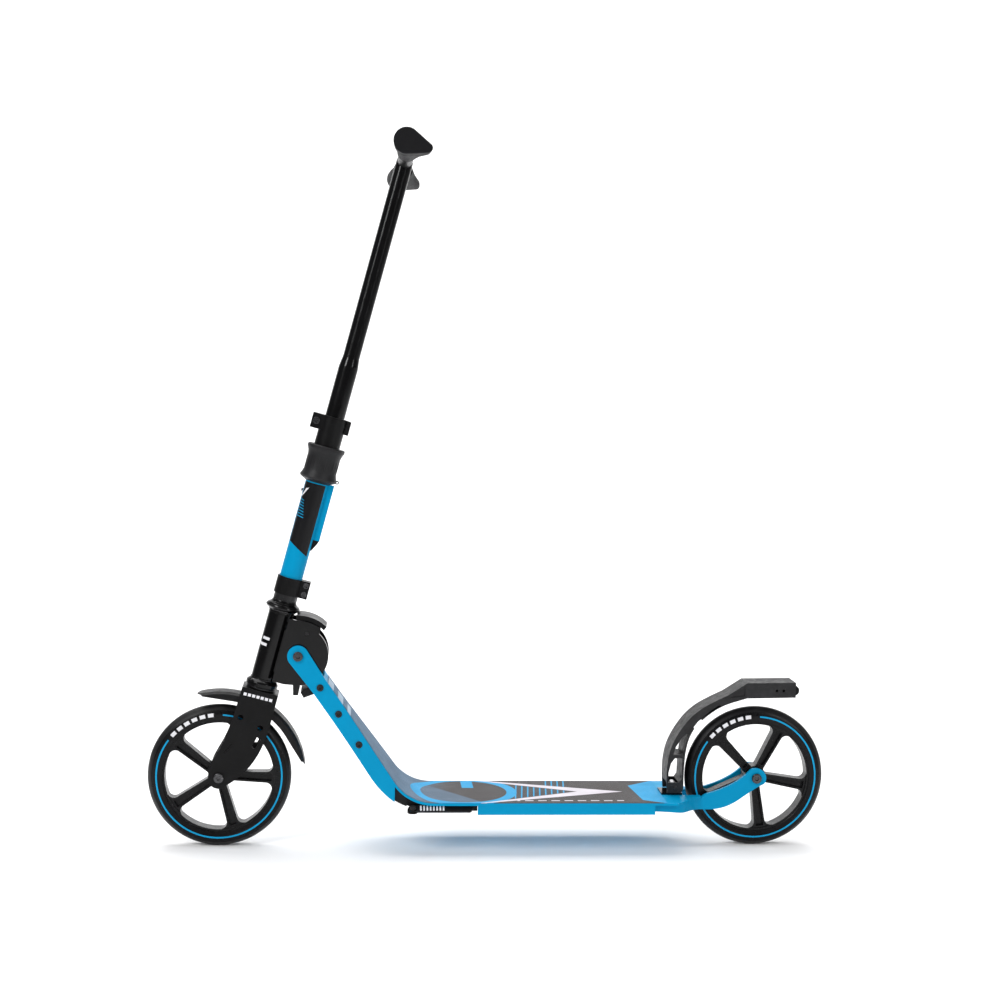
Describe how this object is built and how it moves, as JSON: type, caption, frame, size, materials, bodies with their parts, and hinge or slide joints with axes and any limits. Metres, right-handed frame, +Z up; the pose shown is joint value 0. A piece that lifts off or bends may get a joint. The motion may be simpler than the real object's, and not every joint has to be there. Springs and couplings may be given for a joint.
{
  "type": "kick scooter",
  "caption": "Folding kick scooter with large wheels, a blue deck bent up to the folding joint, a T handlebar with height clamp, a rear foot brake and a side kickstand.",
  "frame": {"origin": "bottom centre of the bounding box: on the floor, midway between the axles, in the middle plane", "axes": "+Z up; the scooter heads towards -X, so -Y is the rider's left; the steering axis leans back 14.5 degrees"},
  "size_m": [0.9839, 0.47, 0.999],
  "materials": {
    "blue_paint": "satin",
    "black_paint": "gloss",
    "black_plastic": "satin",
    "grey_plastic": "matte",
    "rubber": "matte",
    "tyre": "satin",
    "rim": "satin",
    "grip_tape": "matte",
    "steel": "satin",
    "black_steel": "satin",
    "aluminium": "satin"
  },
  "bodies": {
    "deck": {"deck": "blue_paint", "grip_tape": "grip_tape", "neck_screws": "black_steel", "fold_stop_block": "black_plastic", "pivot_bolt": "steel", "pivot_bolt_caps": "black_steel", "left_rear_arm": "blue_paint", "right_rear_arm": "blue_paint", "arm_cross_member": "blue_paint", "rear_axle": "steel", "rear_axle_bolts": "black_steel", "rear_axle_spacers": "aluminium", "kickstand_bracket": "black_plastic", "kickstand_bolt": "black_steel", "brake_bracket": "black_paint", "brake_pin": "steel", "brake_spring": "steel"},
    "head": {"fold_housing": "black_paint", "head_tube": "black_paint", "upper_headset_cup": "black_paint", "lower_headset_cup": "black_paint", "headset_bearings": "steel", "pivot_bushes": "black_plastic", "fold_lever_pin": "steel", "fold_lever_spring": "steel"},
    "fold_lever": {"fold_lever": "black_paint"},
    "column": {"fork": "black_paint", "steerer_tube": "steel", "crown_race": "black_steel", "headset_cover": "black_paint", "headset_locknut": "black_steel", "front_fender": "black_plastic", "fender_screw": "black_steel", "front_axle": "steel", "front_axle_bolts": "black_steel", "front_axle_spacers": "aluminium", "lower_clamp": "black_paint", "lower_clamp_bolts": "black_steel", "stem_tube": "blue_paint", "rail_plug": "black_plastic", "rubber_sleeve": "rubber", "strap_eye": "steel", "quick_release_clamp": "black_paint", "quick_release_bolt": "steel", "quick_release_nut": "black_steel"},
    "quick_release_lever": {"quick_release_lever": "black_plastic"},
    "height_button": {"height_button": "steel"},
    "handlebar": {"handlebar_post": "black_paint", "crossbar": "black_paint", "left_grip": "rubber", "right_grip": "rubber"},
    "front_wheel": {"front_tyre": "tyre", "front_rim": "rim", "front_bearings": "steel"},
    "rear_wheel": {"rear_tyre": "tyre", "rear_rim": "rim", "rear_bearings": "steel"},
    "brake": {"brake_fender": "grey_plastic", "brake_pedal_insert": "black_plastic"},
    "kickstand": {"kickstand_leg": "black_steel"}
  },
  "joints": [
    {"name": "stem_fold", "type": "hinge", "parent": "deck", "child": "head", "pos_m": [-0.27892, 0, 0.27959], "axis": [0, 1, 0], "range_deg": [0, 75]},
    {"name": "steering", "type": "hinge", "parent": "head", "child": "column", "pos_m": [-0.31743, 0, 0.28645], "axis": [0.2504, 0, 0.9681], "range_deg": [-50, 50]},
    {"name": "bar_height", "type": "slide", "parent": "column", "child": "handlebar", "axis": [0.2504, 0, 0.9681], "range_m": [-0.07, 0]},
    {"name": "quick_release", "type": "hinge", "parent": "column", "child": "quick_release_lever", "pos_m": [-0.25741, 0.0198, 0.61437], "axis": [0.2504, 0, 0.9681], "range_deg": [0, 130]},
    {"name": "height_button_press", "type": "slide", "parent": "column", "child": "height_button", "axis": [0.9681, 0, -0.2504], "range_m": [0, 0.002], "stiffness_N_per_m": 300},
    {"name": "front_wheel_spin", "type": "hinge", "parent": "column", "child": "front_wheel", "pos_m": [-0.3895, 0, 0.1025], "axis": [0, 1, 0], "continuous": true},
    {"name": "rear_wheel_spin", "type": "hinge", "parent": "deck", "child": "rear_wheel", "pos_m": [0.3895, 0, 0.1025], "axis": [0, 1, 0], "continuous": true},
    {"name": "brake_press", "type": "hinge", "parent": "deck", "child": "brake", "pos_m": [0.27, 0, 0.088], "axis": [0, 1, 0], "range_deg": [0, 6.5], "stiffness_Nm_per_rad": 12, "springref_deg": -1.15},
    {"name": "kickstand_swing", "type": "hinge", "parent": "deck", "child": "kickstand", "pos_m": [-0.1135, -0.0645, 0.0679], "axis": [0, 0.766, -0.6428], "range_deg": [0, 95]},
    {"name": "fold_lever_press", "type": "hinge", "parent": "head", "child": "fold_lever", "pos_m": [-0.26653, 0, 0.3115], "axis": [0, 1, 0], "range_deg": [0, 3], "stiffness_Nm_per_rad": 1, "springref_deg": -1.72}
  ]
}
